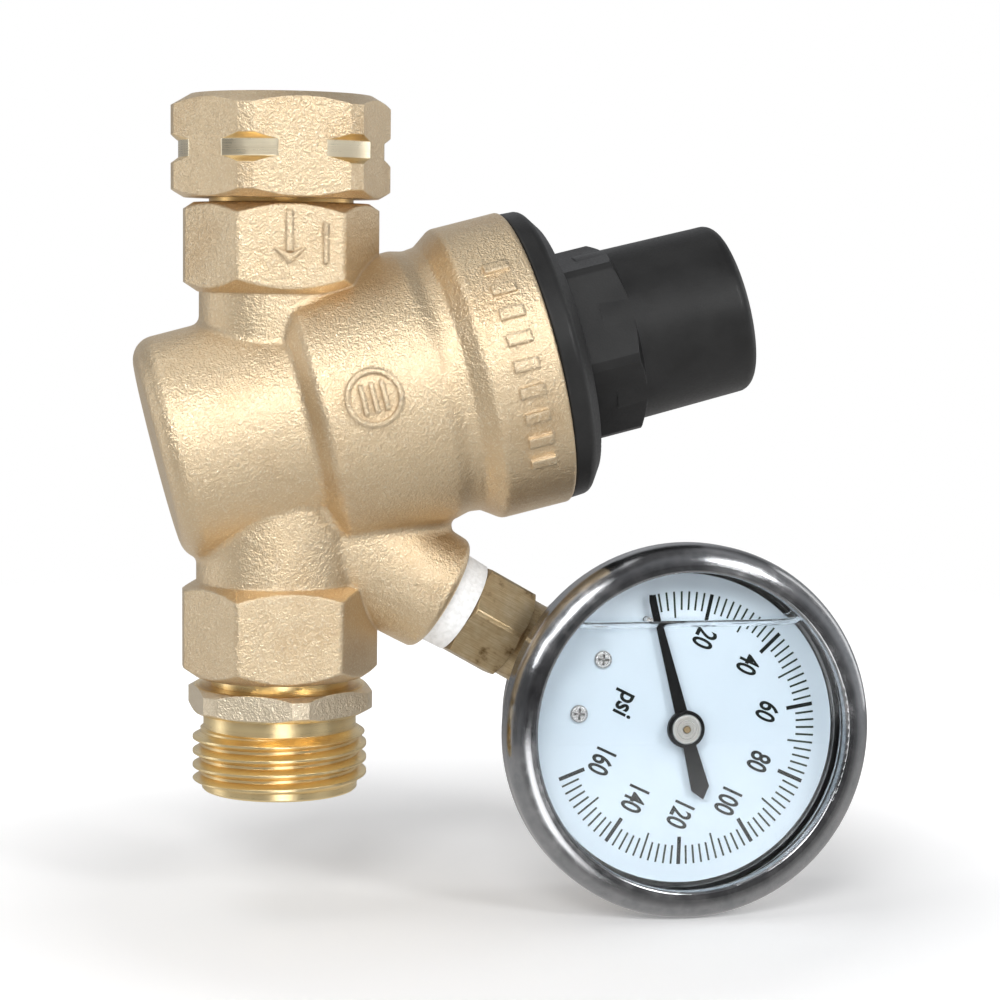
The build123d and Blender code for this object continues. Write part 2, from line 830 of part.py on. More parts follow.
def make_stop_pin():
    """Pin that the pointer rests against below the scale."""
    pin = Rot(0, 0, STOP_ANGLE) * Pos(STOP_R, 0, 0) * rod(0.55, 11.5, 14.0)
    return GAUGE.location * pin


def make_pointer():
    """Black pointer with a pointed tail and a raised hub ring."""
    blade = make_face(
        Polyline(
            (21.4, 0.2),
            (20.4, 0.42),
            (2.4, 1.0),
            (-2.4, 1.0),
            (-9.6, 1.45),
            (-11.4, 0.0),
            (-9.6, -1.45),
            (-2.4, -1.0),
            (2.4, -1.0),
            (20.4, -0.42),
            (21.4, -0.2),
            close=True,
        )
    )
    pointer = Pos(0, 0, 13.3) * extrude(blade, 0.35) + tube(2.9, 2.42, 13.3, 14.6) + rod(2.9, 13.3, 13.75)
    return GAUGE.location * (Rot(0, 0, POINTER_ANGLE) * (pointer - rod(0.6, 12, 16)))


def make_pointer_hub():
    """Silver boss of the pointer."""
    hub = turned([(0.6, 13.8), (2.36, 13.8), (2.36, 14.9, 0.3), (0.6, 14.9)])
    return GAUGE.location * hub


def build_all():
    """Every node of the assembly, by name."""
    return {
        "body_casting": make_body(),
        "inlet_tail": make_inlet_tail(),
        "tail_seal": torus(9.07, 0.55, up(88.6)),
        "swivel_nut": make_swivel_nut(),
        "hose_washer": make_hose_washer(),
        "filter_screen": make_filter_screen(),
        "outlet_nipple": make_outlet_nipple(),
        "outlet_seal": torus(9.07, 0.55, up(20.0)),
        "valve_cage": make_valve_cage(),
        "cage_seal": torus(10.85, 0.58, 1.6, CHAMBER),
        "stem_seal": torus(4.8, 0.66, 14.8, CHAMBER),
        "piston": make_piston(),
        "piston_seal": torus(16.1, 0.9, 23.3, CHAMBER),
        "valve_disc": tube(7.6, 2.05, -7.35, -5.15, CHAMBER),
        "disc_holder": make_disc_holder(),
        "disc_nut": make_disc_nut(),
        "main_spring": make_spring(),
        "spring_seat": make_spring_seat(),
        "adjusting_screw": make_adjusting_screw(),
        "bonnet": make_bonnet(),
        "bonnet_seal": torus(21.4, 0.45, 40.8, CHAMBER),
        "thread_tape": turned([(6.7, 29.05), (7.5, 29.05), (7.35, 33.05), (6.7, 33.05)], PORT),
        "gauge_socket": make_gauge_socket(),
        "bourdon_tube": make_bourdon_tube(),
        "tube_tip": make_tube_tip(),
        "movement_link": make_link(),
        "sector_gear": make_sector_gear(),
        "pointer_spindle": make_pointer_spindle(),
        "movement_back_plate": make_back_plate(),
        "movement_front_plate": make_front_plate(),
        "movement_screws": make_movement_screws(),
        "hairspring": make_hairspring(),
        "gauge_case": make_gauge_case(),
        "fill_plug": make_fill_plug(),
        "gauge_bezel": make_bezel(),
        "window_gasket": tube(27.6, 25.1, 15.05, 15.65, GAUGE),
        "gauge_window": rod(27.6, 15.7, 18.25, GAUGE),
        "gauge_dial": make_dial(),
        "dial_screws": make_dial_screws(),
        "stop_pin": make_stop_pin(),
        "gauge_pointer": make_pointer(),
        "pointer_hub": make_pointer_hub(),
    }


def main():
    """Write one file per node."""
    os.makedirs("parts", exist_ok=True)
    for name, shape in build_all().items():
        export_step(shape, f"parts/{name}.step")
        print(name, len(shape.solids()), round(shape.volume, 1))


main()
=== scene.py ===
"""Looks of the adjustable water pressure regulator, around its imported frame. Lengths are in metres.

The gauge has a frame of its own: its x axis runs along the stem, away from the body, its z axis
is the dial's normal, and its origin is on the pointer's axis.
"""
import json
import math

import bmesh
import bpy
from mathutils import Matrix, Vector


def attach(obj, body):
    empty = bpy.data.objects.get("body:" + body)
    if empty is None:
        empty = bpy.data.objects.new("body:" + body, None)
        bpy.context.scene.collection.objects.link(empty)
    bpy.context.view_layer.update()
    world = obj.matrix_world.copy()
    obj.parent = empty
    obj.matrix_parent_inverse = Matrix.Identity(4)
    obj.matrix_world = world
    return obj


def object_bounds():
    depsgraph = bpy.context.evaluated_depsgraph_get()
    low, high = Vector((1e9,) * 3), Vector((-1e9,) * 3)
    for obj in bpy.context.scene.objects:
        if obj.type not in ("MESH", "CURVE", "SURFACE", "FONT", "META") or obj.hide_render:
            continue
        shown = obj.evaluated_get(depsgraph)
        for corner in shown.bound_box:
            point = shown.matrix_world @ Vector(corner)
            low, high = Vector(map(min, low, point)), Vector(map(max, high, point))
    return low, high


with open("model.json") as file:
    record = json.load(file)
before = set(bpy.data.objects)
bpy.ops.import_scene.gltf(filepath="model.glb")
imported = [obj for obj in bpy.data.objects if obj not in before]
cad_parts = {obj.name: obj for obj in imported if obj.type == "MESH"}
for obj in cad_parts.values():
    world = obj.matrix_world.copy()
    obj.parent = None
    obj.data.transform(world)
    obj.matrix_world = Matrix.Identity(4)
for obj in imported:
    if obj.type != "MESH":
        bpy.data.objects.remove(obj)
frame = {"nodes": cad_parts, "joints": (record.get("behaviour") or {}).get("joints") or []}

cad_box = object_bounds()

MM = 0.001

# ------------------------------------------------------------------ places taken from the frame
JOINTS = {joint["name"]: joint for joint in frame["joints"]}
OBJECT_LOW, OBJECT_HIGH = cad_box
OBJECT_CENTRE = (OBJECT_LOW + OBJECT_HIGH) / 2
STEM_DROP = math.radians(29.7)  # the stem falls this far towards +X

# the nut's groove and the nipple's flange, as in the part
GROOVE_Z = -8.3 * MM
GROOVE_R = 15.57 * MM
GROOVE_FLOOR_HALF = 1.25 * MM
GROOVE_HALF = 2.15 * MM
GROOVE_SLOPE = 1.31
NUT_INSIDE_R = 13.8 * MM
FLANGE_ROOT_R = 12.9 * MM
FLANGE_LOW_Z = -93.95 * MM
FLANGE_HIGH_Z = -90.2 * MM

# gauge sizes, as in the part
POINTER_JOINT_Z = 13.4 * MM  # where the pointer's joint sits on its axis
DIAL_Z = 12.07 * MM
LIQUID_BACK_Z = 11.45 * MM
LIQUID_FRONT_Z = 15.66 * MM
LIQUID_R = 24.75 * MM
LIQUID_RISE = 15.5 * MM  # liquid level above the gauge's centre

# dial print
DIAL_UP = math.radians(5.0)  # the dial's top is turned this far from the stem axis
LETTER_EXTRUDE = 0.01  # in the text's own units
LETTER_WEIGHT = 0.022
LETTER_LEAN = math.radians(-2.5)  # the lettering is turned this far from the dial's top
PSI_STEP = math.radians(1.6875)
MIDDLE_PSI = 80
LAST_PSI = 160
FIRST_TICK = math.radians(127.0)
TICK_OUTER_R = 21.1 * MM
START_TICK_INNER_R = 16.9 * MM
TWENTY_TICK_INNER_R = 16.85 * MM
TEN_TICK_INNER_R = 17.0 * MM
TWO_TICK_INNER_R = 18.2 * MM
THICK_TICK = 0.60 * MM
THIN_TICK = 0.31 * MM
FIRST_PSI = 6  # the first of the marks after the start mark
PRINT_LIFT = 0.02 * MM
INK_HEIGHT = 0.02 * MM


def gauge_frame():
    """Matrix of the gauge's frame, from the pointer's joint."""
    joint = JOINTS["pointer_sweep"]
    normal = -Vector(joint["axis"]).normalized()
    stem = Vector((math.cos(STEM_DROP), 0, -math.sin(STEM_DROP)))
    across = normal.cross(stem)
    origin = Vector(joint["pos_m"]) - normal * POINTER_JOINT_Z
    matrix = Matrix((stem, across, normal)).transposed().to_4x4()
    matrix.translation = origin
    return matrix


GAUGE = gauge_frame()


# ------------------------------------------------------------------ node trees
BEVEL_SAMPLES = 4
CREVICE_SAMPLES = 3


class Finish:
    """A material under construction, with short calls for the nodes that the finishes share."""

    def __init__(self, name, **values):
        self.material = bpy.data.materials.new(name)
        self.material.use_nodes = True
        self.tree = self.material.node_tree
        self.shader = self.tree.nodes["Principled BSDF"]
        self.output = self.tree.nodes["Material Output"]
        for socket, value in values.items():
            self.set(self.shader, socket.replace("_", " "), value)

    def set(self, node, socket, value):
        """Sets a socket to a number or colour, or links it to another node's output."""
        target = node.inputs[socket]
        if isinstance(value, bpy.types.NodeSocket):
            self.tree.links.new(value, target)
        elif isinstance(value, tuple) and len(value) == 3 and target.type == "RGBA":
            target.default_value = (*value, 1)
        else:
            target.default_value = value

    def node(self, kind, **values):
        """A node of a kind, with the named sockets set. An underscore stands for a space."""
        made = self.tree.nodes.new("ShaderNode" + kind)
        for socket, value in values.items():
            self.set(made, socket.replace("_", " "), value)
        return made

    def put(self, **values):
        """Sets sockets of the shader."""
        for socket, value in values.items():
            self.set(self.shader, socket.replace("_", " "), value)

    def place(self):
        """Position in the object's own frame, in metres."""
        return self.node("TexCoord").outputs["Object"]

    def math(self, operation, first, second=0.0, third=0.0):
        """Number worked out by a Math node."""
        made = self.tree.nodes.new("ShaderNodeMath")
        made.operation = operation
        for i, value in enumerate((first, second, third)):
            self.set(made, i, value)
        return made.outputs[0]

    def vector(self, operation, first, second=(0, 0, 0)):
        """Vector, or number, worked out by a Vector Math node."""
        made = self.tree.nodes.new("ShaderNodeVectorMath")
        made.operation = operation
        self.set(made, 0, first)
        self.set(made, 1, second)
        return made.outputs["Value" if operation in ("DOT_PRODUCT", "LENGTH") else "Vector"]

    def noise(self, size, detail=2.0, roughness=0.5, where=None, distortion=0.0):
        """Noise whose features are about size metres across, from 0 to 1."""
        made = self.node(
            "TexNoise",
            Vector=where or self.place(),
            Scale=1 / size,
            Detail=detail,
            Roughness=roughness,
            Distortion=distortion,
        )
        return made.outputs[0]

    def span(self, value, low, high, to_low=0.0, to_high=1.0):
        """value carried from one span to another, held at its ends."""
        made = self.node("MapRange")
        for i, number in enumerate((value, low, high, to_low, to_high)):
            self.set(made, i, number)
        return made.outputs[0]

    def ramp(self, value, *stops):
        """Colour ramp through (place, colour) stops."""
        made = self.tree.nodes.new("ShaderNodeValToRGB")
        self.set(made, 0, value)
        points = made.color_ramp.elements
        while len(points) < len(stops):
            points.new(0.5)
        for point, (where, colour) in zip(points, stops):
            point.position = where
            point.color = (*colour, 1)
        return made.outputs[0]

    def mix(self, share, first, second):
        """Colour mixed from first to second."""
        made = self.tree.nodes.new("ShaderNodeMix")
        made.data_type = "RGBA"
        self.set(made, "Factor", share)
        for socket, value in ((6, first), (7, second)):
            self.set(made, socket, value)
        return made.outputs[2]

    def bump(self, height, depth, normal=None):
        """Normal bent by a height map whose full range is depth metres."""
        made = self.node("Bump", Height=height, Distance=depth, Strength=1.0)
        if normal is not None:
            self.set(made, "Normal", normal)
        return made.outputs[0]

    def eased(self, radius):
        """Normal that rounds the edges off by a radius."""
        made = self.tree.nodes.new("ShaderNodeBevel")
        made.samples = BEVEL_SAMPLES
        self.set(made, "Radius", radius)
        return made.outputs[0]

    def edges(self, eased):
        """1 on a rounded edge and 0 away from it."""
        normal = self.node("NewGeometry").outputs["Normal"]
        alike = self.vector("DOT_PRODUCT", eased, normal)
        return self.span(alike, 1.0, 0.8, 0.0, 1.0)

    def crevice(self, reach):
        """1 in the open and 0 deep in a corner."""
        made = self.tree.nodes.new("ShaderNodeAmbientOcclusion")
        made.samples = CREVICE_SAMPLES
        self.set(made, "Distance", reach)
        return made.outputs["AO"]

    def rings(self, axis_frame=None):
        """Place turned into (radius, height) about an axis, so that noise runs in rings round it."""
        where = self.place()
        if axis_frame is not None:
            where = self.local(where, axis_frame)
        x, y, z = self.node("SeparateXYZ", Vector=where).outputs
        across = self.math("ADD", self.math("MULTIPLY", x, x), self.math("MULTIPLY", y, y))
        radius = self.math("SQRT", across)
        joined = self.node("CombineXYZ", X=radius, Z=z)
        return joined.outputs[0], radius, z

    def local(self, where, matrix):
        """A place in the frame of a matrix."""
        shifted = self.vector("SUBTRACT", where, tuple(matrix.translation))
        x, y, z = (self.vector("DOT_PRODUCT", shifted, tuple(matrix.col[i].to_3d())) for i in range(3))
        return self.node("CombineXYZ", X=x, Y=y, Z=z).outputs[0]

    def clear_to_lamps(self):
        """Lets light from the lamps through, and shows the shader to everything else."""
        path = self.node("LightPath").outputs["Is Shadow Ray"]
        mixer = self.tree.nodes.new("ShaderNodeMixShader")
        self.set(mixer, 0, path)
        self.set(mixer, 1, self.shader.outputs[0])
        self.set(mixer, 2, self.node("BsdfTransparent").outputs[0])
        self.tree.links.new(mixer.outputs[0], self.output.inputs["Surface"])


def axis_frame(origin, axis):
    """Matrix with its z axis along axis."""
    turn = Vector(axis).normalized().to_track_quat("Z", "Y")
    matrix = turn.to_matrix().to_4x4()
    matrix.translation = Vector(origin)
    return matrix


# ------------------------------------------------------------------ metals
BLASTED_GOLD = (0.80, 0.63, 0.41)
BLASTED_PALE = (0.96, 0.86, 0.68)
BLASTED_DEEP = (0.73, 0.55, 0.34)
TURNED_GOLD = (0.92, 0.68, 0.34)
# paler gold painted on the nut groove's floor as its highlight
GROOVE_FLOOR_LIT_GOLD = (0.93, 0.83, 0.62)
NIPPLE_GOLD = (1.0, 0.80, 0.44)
AGED_DARK = (0.13, 0.075, 0.03)
AGED_MID = (0.54, 0.41, 0.24)


def blasted(finish, eased):
    """Colour, roughness and normal of shot-blasted brass."""
    grain = finish.noise(0.30 * MM, 2.0, 0.6)
    sand = finish.noise(0.75 * MM, 2.0, 0.6)
    swell = finish.noise(5.5 * MM, 2.0, 0.5)
    patch = finish.noise(11 * MM, 3.0, 0.55)
    # pale specks on the grain: partly the grain's own tone and partly painted glints
    glint_speck = finish.span(grain, 0.52, 0.70, 0.0, 0.6)
    colour = finish.ramp(patch, (0.3, BLASTED_DEEP), (0.48, BLASTED_GOLD), (0.72, BLASTED_GOLD))
    colour = finish.mix(glint_speck, colour, BLASTED_PALE)
    # lighter towards BLASTED_PALE on the rounded edges: edge wear and a painted edge highlight
    colour = finish.mix(finish.math("MULTIPLY", finish.edges(eased), 0.35), colour, BLASTED_PALE)
    roughness = finish.span(grain, 0.3, 0.7, 0.46, 0.30)
    normal = finish.bump(swell, 0.12 * MM, eased)
    normal = finish.bump(sand, 0.15 * MM, normal)
    normal = finish.bump(grain, 0.13 * MM, normal)
    return colour, roughness, normal


def turned_metal(finish, eased, colour, roughness, matrix=None):
    """Colour, roughness and normal of metal with fine turning rings."""
    where, _, _ = finish.rings(matrix)
    fine = finish.noise(0.09 * MM, 3.0, 0.6, where)
    broad = finish.noise(0.8 * MM, 2.0, 0.5, where)
    smudge = finish.noise(3.5 * MM, 3.0, 0.6)
    tone = finish.mix(finish.span(broad, 0.3, 0.7, 0.0, 0.3), colour, AGED_MID)
    rough = finish.math(
        "ADD",
        finish.span(fine, 0.3, 0.7, roughness * 0.75, roughness * 1.25),
        finish.span(smudge, 0.4, 0.75, 0.0, 0.08),
    )
    normal = finish.bump(fine, 0.006 * MM, eased)
    return tone, rough, normal


def cast_brass():
    """Shot-blasted cast body, with shade painted darker into the seams where parts meet."""
    finish = Finish("cast_brass_finish", Metallic=1.0)
    eased = finish.eased(0.7 * MM)
    colour, roughness, normal = blasted(finish, eased)
    # painted shade: an occlusion mask darkens the colour towards BLASTED_DEEP in seams and corners
    shade = finish.span(finish.crevice(2.5 * MM), 0.2, 0.85, 0.0, 1.0)
    colour = finish.mix(shade, BLASTED_DEEP, colour)
    finish.put(Base_Color=colour, Roughness=roughness, Normal=normal)
    return finish.material


def nut_brass():
    """Shot-blasted nut with a polished groove across its corners, whose floor is painted a paler gold
    than its slopes as a highlight.
    """
    finish = Finish("nut_brass_finish", Metallic=1.0)
    eased = finish.eased(0.3 * MM)
    colour, roughness, normal = blasted(finish, eased)
    _, radius, height = finish.rings()
    off = finish.math("ABSOLUTE", finish.math("SUBTRACT", height, GROOVE_Z))
    beyond_floor = finish.math("MAXIMUM", finish.math("SUBTRACT", off, GROOVE_FLOOR_HALF), 0.0)
    groove_radius = finish.math("MULTIPLY_ADD", beyond_floor, GROOVE_SLOPE, GROOVE_R)
    depth = finish.math("SUBTRACT", radius, groove_radius)
    polished = finish.math(
        "MULTIPLY",
        finish.span(off, GROOVE_HALF + 0.05 * MM, GROOVE_HALF, 0.0, 1.0),
        finish.span(depth, 0.0, 0.02 * MM, 0.0, 1.0),
    )
    slope = finish.span(off, GROOVE_FLOOR_HALF - 0.05 * MM, GROOVE_FLOOR_HALF + 0.05 * MM, 0.0, 1.0)
    inside = finish.span(radius, NUT_INSIDE_R + 0.1 * MM, NUT_INSIDE_R, 0.0, 1.0)
    polished = finish.math("MAXIMUM", polished, inside)
    # painted highlight: the groove's floor is paler gold than its slopes
    turned = finish.mix(slope, GROOVE_FLOOR_LIT_GOLD, TURNED_GOLD)
    tone, sheen, smooth = turned_metal(finish, eased, turned, 0.3)
    finish.put(
        Base_Color=finish.mix(polished, colour, tone),
        Roughness=finish.span(polished, 0.0, 1.0, roughness, sheen),
        Normal=finish.mix(polished, normal, smooth),
    )
    return finish.material


def nipple_brass():
    """Turned hose nipple whose hexagon keeps its blasted faces, painted paler than the body's as a lit
    copy, with shade painted into the thread's roots.
    """
    finish = Finish("nipple_brass_finish", Metallic=1.0)
    eased = finish.eased(0.15 * MM)
    colour, roughness, normal = blasted(finish, eased)
    tone, sheen, smooth = turned_metal(finish, eased, NIPPLE_GOLD, 0.3)
    # painted light: the hexagon's blasted brass is a paler, lit copy of the body's
    colour = finish.mix(0.6, colour, BLASTED_PALE)
    _, radius, height = finish.rings()
    rim = finish.span(radius, FLANGE_ROOT_R, FLANGE_ROOT_R + 0.1 * MM, 0.0, 1.0)
    above = finish.span(height, FLANGE_LOW_Z, FLANGE_LOW_Z + 0.1 * MM, 0.0, 1.0)
    below = finish.span(height, FLANGE_HIGH_Z, FLANGE_HIGH_Z + 0.1 * MM, 1.0, 0.0)
    flange = finish.math("MULTIPLY", rim, finish.math("MULTIPLY", above, below))
    # painted shade: an occlusion mask turns the brass a deeper, darker gold in the thread's roots and
    # corners
    painted_groove_shade = finish.span(finish.crevice(1.2 * MM), 0.1, 0.8, 0.0, 1.0)
    tone = finish.mix(painted_groove_shade, (0.80, 0.50, 0.17), tone)
    finish.put(
        Base_Color=finish.mix(flange, tone, colour),
        Roughness=finish.span(flange, 0.0, 1.0, sheen, roughness),
        Normal=finish.mix(flange, smooth, normal),
    )
    return finish.material


def aged_brass():
    """Drawn brass bar of the gauge stem, brushed along its flats, darkened with age in blotches and
    darker into its corners.
    """
    finish = Finish("aged_brass_finish", Metallic=1.0)
    eased = finish.eased(0.25 * MM)
    where = finish.local(finish.place(), GAUGE)
    stretched = finish.vector("MULTIPLY", where, (0.06, 1.0, 1.0))
    lines = finish.noise(0.22 * MM, 3.0, 0.6, stretched)
    blotch = finish.noise(2.4 * MM, 4.0, 0.6)
    edge_wear_and_highlight = finish.edges(eased)
    colour = finish.ramp(blotch, (0.28, AGED_DARK), (0.42, AGED_MID), (0.7, (0.66, 0.54, 0.35)))
    colour = finish.mix(finish.span(lines, 0.3, 0.7, 0.0, 0.6), colour, (0.30, 0.21, 0.10))
    # lighter on the rounded edges: edge wear and a painted edge highlight
    colour = finish.mix(finish.math("MULTIPLY", edge_wear_and_highlight, 0.6), colour, (0.80, 0.66, 0.42))
    # darker towards AGED_DARK where an occlusion mask finds corners and hollows
    open_part = finish.span(finish.crevice(1.5 * MM), 0.2, 0.8, 0.0, 1.0)
    colour = finish.mix(open_part, AGED_DARK, colour)
    normal = finish.bump(lines, 0.03 * MM, eased)
    finish.put(Base_Color=colour, Roughness=finish.span(blotch, 0.3, 0.7, 0.46, 0.32), Normal=normal)
    return finish.material


def plain_metal(name, colour, roughness, matrix=None, ease=0.15):
    """A turned metal part."""
    finish = Finish(name, Metallic=1.0)
    tone, sheen, normal = turned_metal(finish, finish.eased(ease * MM), colour, roughness, matrix)
    finish.put(Base_Color=tone, Roughness=sheen, Normal=normal)
    return finish.material


def polished_steel():
    """Pressed steel polished in rings, which draws the lamps out into streaks across the ring."""
    finish = Finish("polished_steel_finish", Metallic=1.0)
    outwards = finish.vector("SUBTRACT", finish.place(), tuple(GAUGE.translation))
    where, _, _ = finish.rings(GAUGE)
    rings = finish.noise(0.12 * MM, 3.0, 0.6, where)
    waves = finish.noise(9 * MM, 2.0, 0.5)
    smear = finish.noise(3.0 * MM, 4.0, 0.65)
    scratch = finish.noise(0.5 * MM, 4.0, 0.7)
    tone = finish.ramp(smear, (0.3, (0.29, 0.30, 0.31)), (0.7, (0.39, 0.39, 0.40)))
    roughness = finish.math(
        "ADD", finish.span(smear, 0.4, 0.8, 0.13, 0.24), finish.span(rings, 0.3, 0.7, 0.0, 0.06)
    )
    normal = finish.bump(waves, 0.03 * MM, finish.eased(0.1 * MM))
    normal = finish.bump(rings, 0.003 * MM, normal)
    normal = finish.bump(scratch, 0.004 * MM, normal)
    finish.put(Base_Color=tone, Roughness=roughness, Normal=normal, Anisotropic=0.9, Tangent=outwards)
    return finish.material


def screw_steel():
    """Bright small screws, with shade painted dark into their slots."""
    finish = Finish("screw_steel_finish", Metallic=1.0)
    eased = finish.eased(0.08 * MM)
    scuff = finish.noise(0.25 * MM, 3.0, 0.6)
    # painted shade: an occlusion mask darkens the screws in their slots
    slot = finish.span(finish.crevice(0.5 * MM), 0.35, 0.8, 0.0, 1.0)
    tone = finish.ramp(scuff, (0.35, (0.45, 0.43, 0.41)), (0.62, (0.82, 0.80, 0.78)))
    tone = finish.mix(slot, (0.10, 0.09, 0.08), tone)
    normal = finish.bump(scuff, 0.05 * MM, eased)
    finish.put(Base_Color=tone, Roughness=finish.span(scuff, 0.3, 0.7, 0.32, 0.2), Normal=normal)
    return finish.material


def hub_silver():
    """Nickelled boss with turning rings."""
    finish = Finish("hub_silver_finish", Metallic=1.0)
    where, _, _ = finish.rings(GAUGE)
    rings = finish.noise(0.22 * MM, 2.0, 0.6, where)
    tone = finish.ramp(rings, (0.3, (0.36, 0.34, 0.31)), (0.6, (0.66, 0.64, 0.60)))
    normal = finish.bump(rings, 0.04 * MM, finish.eased(0.15 * MM))
    finish.put(Base_Color=tone, Roughness=finish.span(rings, 0.3, 0.7, 0.36, 0.24), Normal=normal)
    return finish.material


# ------------------------------------------------------------------ plastics, rubber, paint, glass
STEM_FRAME = axis_frame((0, 0, 0), (math.cos(STEM_DROP), 0, -math.sin(STEM_DROP)))


def black_plastic():
    """Satin moulded nylon."""
    finish = Finish("black_plastic_finish", Specular_IOR_Level=0.38)
    eased = finish.eased(0.3 * MM)
    grain = finish.noise(0.35 * MM, 3.0, 0.6)
    flow = finish.noise(6 * MM, 3.0, 0.5)
    colour = finish.ramp(flow, (0.3, (0.008, 0.008, 0.008)), (0.7, (0.016, 0.016, 0.016)))
    # painted edge highlight: lighter grey on the rounded edges
    colour = finish.mix(finish.math("MULTIPLY", finish.edges(eased), 0.5), colour, (0.05, 0.05, 0.05))
    roughness = finish.math(
        "ADD", finish.span(grain, 0.3, 0.7, 0.38, 0.50), finish.span(flow, 0.4, 0.7, 0.0, 0.06)
    )
    normal = finish.bump(grain, 0.02 * MM, eased)
    finish.put(Base_Color=colour, Roughness=roughness, Normal=normal)
    return finish.material


def black_rubber():
    """Moulded seal rubber."""
    finish = Finish("black_rubber_finish")
    grain = finish.noise(0.3 * MM, 3.0, 0.6)
    dust = finish.noise(2.5 * MM, 4.0, 0.6)
    colour = finish.ramp(dust, (0.35, (0.008, 0.008, 0.008)), (0.8, (0.03, 0.03, 0.03)))
    normal = finish.bump(grain, 0.02 * MM, finish.eased(0.1 * MM))
    finish.put(Base_Color=colour, Roughness=finish.span(grain, 0.3, 0.7, 0.5, 0.65), Normal=normal)
    return finish.material


def white_tape():
    """Wraps of thread tape, squeezed on the slant."""
    finish = Finish("white_tape_finish", Subsurface_Weight=0.25, Subsurface_Scale=1.2 * MM)
    finish.set(finish.shader, "Subsurface Radius", (1.0, 0.95, 0.9))
    where, _, _ = finish.rings(STEM_FRAME)
    wraps = finish.noise(0.8 * MM, 2.0, 0.5, where, 0.3)
    crease = finish.noise(0.35 * MM, 3.0, 0.7)
    colour = finish.ramp(wraps, (0.3, (0.80, 0.80, 0.79)), (0.6, (0.93, 0.93, 0.925)))
    normal = finish.bump(wraps, 0.15 * MM)
    normal = finish.bump(crease, 0.05 * MM, normal)
    finish.put(Base_Color=colour, Roughness=finish.span(crease, 0.3, 0.7, 0.35, 0.5), Normal=normal)
    return finish.material


def dial_white():
    """White enamel of the dial plate."""
    finish = Finish("dial_white_finish")
    grain = finish.noise(0.4 * MM, 2.0, 0.5)
    cast = finish.noise(14 * MM, 2.0, 0.5)
    colour = finish.ramp(cast, (0.3, (0.575, 0.66, 0.73)), (0.7, (0.60, 0.685, 0.755)))
    normal = finish.bump(grain, 0.003 * MM)
    finish.put(Base_Color=colour, Roughness=finish.span(grain, 0.3, 0.7, 0.4, 0.5), Normal=normal)
    return finish.material


def black_paint(name, low, high, roughness):
    """Ink or paint, slightly uneven."""
    finish = Finish(name, Specular_IOR_Level=0.05)
    grain = finish.noise(0.18 * MM, 3.0, 0.6)
    normal = finish.bump(grain, 0.004 * MM, finish.eased(0.08 * MM))
    finish.put(
        Base_Color=finish.ramp(grain, (0.3, low), (0.7, high)),
        Roughness=finish.span(grain, 0.3, 0.7, roughness * 0.85, roughness * 1.15),
        Normal=normal,
    )
    return finish.material


def clear(name, index, tint, smear_size):
    """Clear glass or liquid with the faintest unevenness."""
    finish = Finish(name, Transmission_Weight=1.0, Base_Color=tint, IOR=index, Roughness=0.0)
    waves = finish.noise(smear_size, 2.0, 0.5)
    finish.put(Normal=finish.bump(waves, 0.002 * MM))
    finish.clear_to_lamps()
    return finish.material


# ------------------------------------------------------------------ finishes on the CAD nodes
POINTER_DARK = (0.004, 0.004, 0.004)
POINTER_PALE = (0.010, 0.010, 0.010)
INNER_FRAME = axis_frame(JOINTS["screw_turn"]["pos_m"], JOINTS["screw_turn"]["axis"])


def finish_nodes():
    """Gives every CAD node its finish, by its slot in the record, with a few nodes set apart."""
    by_slot = {
        "cast_brass": cast_brass(),
        "turned_brass": nipple_brass(),
        "aged_brass": aged_brass(),
        "inner_brass": plain_metal("inner_brass_finish", (0.86, 0.62, 0.30), 0.28, INNER_FRAME),
        "black_plastic": black_plastic(),
        "black_rubber": black_rubber(),
        "white_tape": white_tape(),
        "steel": plain_metal("steel_finish", (0.56, 0.56, 0.57), 0.26, GAUGE),
        "polished_steel": polished_steel(),
        "spring_steel": plain_metal("spring_steel_finish", (0.50, 0.51, 0.53), 0.3, INNER_FRAME),
        "window": clear("window_finish", 1.47, (0.985, 0.995, 1.0), 8 * MM),
        "dial_white": dial_white(),
        "pointer_black": black_paint("pointer_black_finish", POINTER_DARK, POINTER_PALE, 0.45),
        "hub_silver": hub_silver(),
    }
    special = {
        "swivel_nut": nut_brass(),
        "dial_screws": screw_steel(),
        "stop_pin": screw_steel(),
        "pointer_spindle": plain_metal("spindle_brass_finish", (0.30, 0.22, 0.12), 0.35, GAUGE),
    }
    for name, node in frame["nodes"].items():
        for slot in node.material_slots:
            named = slot.material.name.split(".")[0]
            slot.material = special.get(name, by_slot[named])


# ------------------------------------------------------------------ dial print
def mesh_piece(name, mesh, material):
    """A new piece of the object, riding on the regulator's body."""
    piece = bpy.data.objects.new(name, mesh)
    bpy.context.scene.collection.objects.link(piece)
    piece.data.materials.clear()
    piece.data.materials.append(material)
    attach(piece, "regulator")


def on_dial(angle, radius, lift=0.0):
    """Point at an angle from the dial's top, anticlockwise, in the gauge's frame."""
    turn = DIAL_UP + angle
    return Vector((radius * math.cos(turn), radius * math.sin(turn), DIAL_Z + PRINT_LIFT + lift))


def tick(work, angle, inner, width):
    """One printed bar along a radius, from an inner radius to the scale's outside."""
    along = (on_dial(angle, 1.0) - on_dial(angle, 0.0)).normalized()
    side = Vector((-along.y, along.x, 0)) * width / 2
    corners = []
    for lift in (0, INK_HEIGHT):
        start, end = on_dial(angle, inner, lift), on_dial(angle, TICK_OUTER_R, lift)
        for corner in (start - side, end - side, end + side, start + side):
            corners.append(work.verts.new(GAUGE @ corner))
    bottom, top = corners[:4], corners[4:]
    work.faces.new(bottom[::-1])
    work.faces.new(top)
    for i in range(4):
        j = (i + 1) % 4
        work.faces.new((bottom[i], bottom[j], top[j], top[i]))


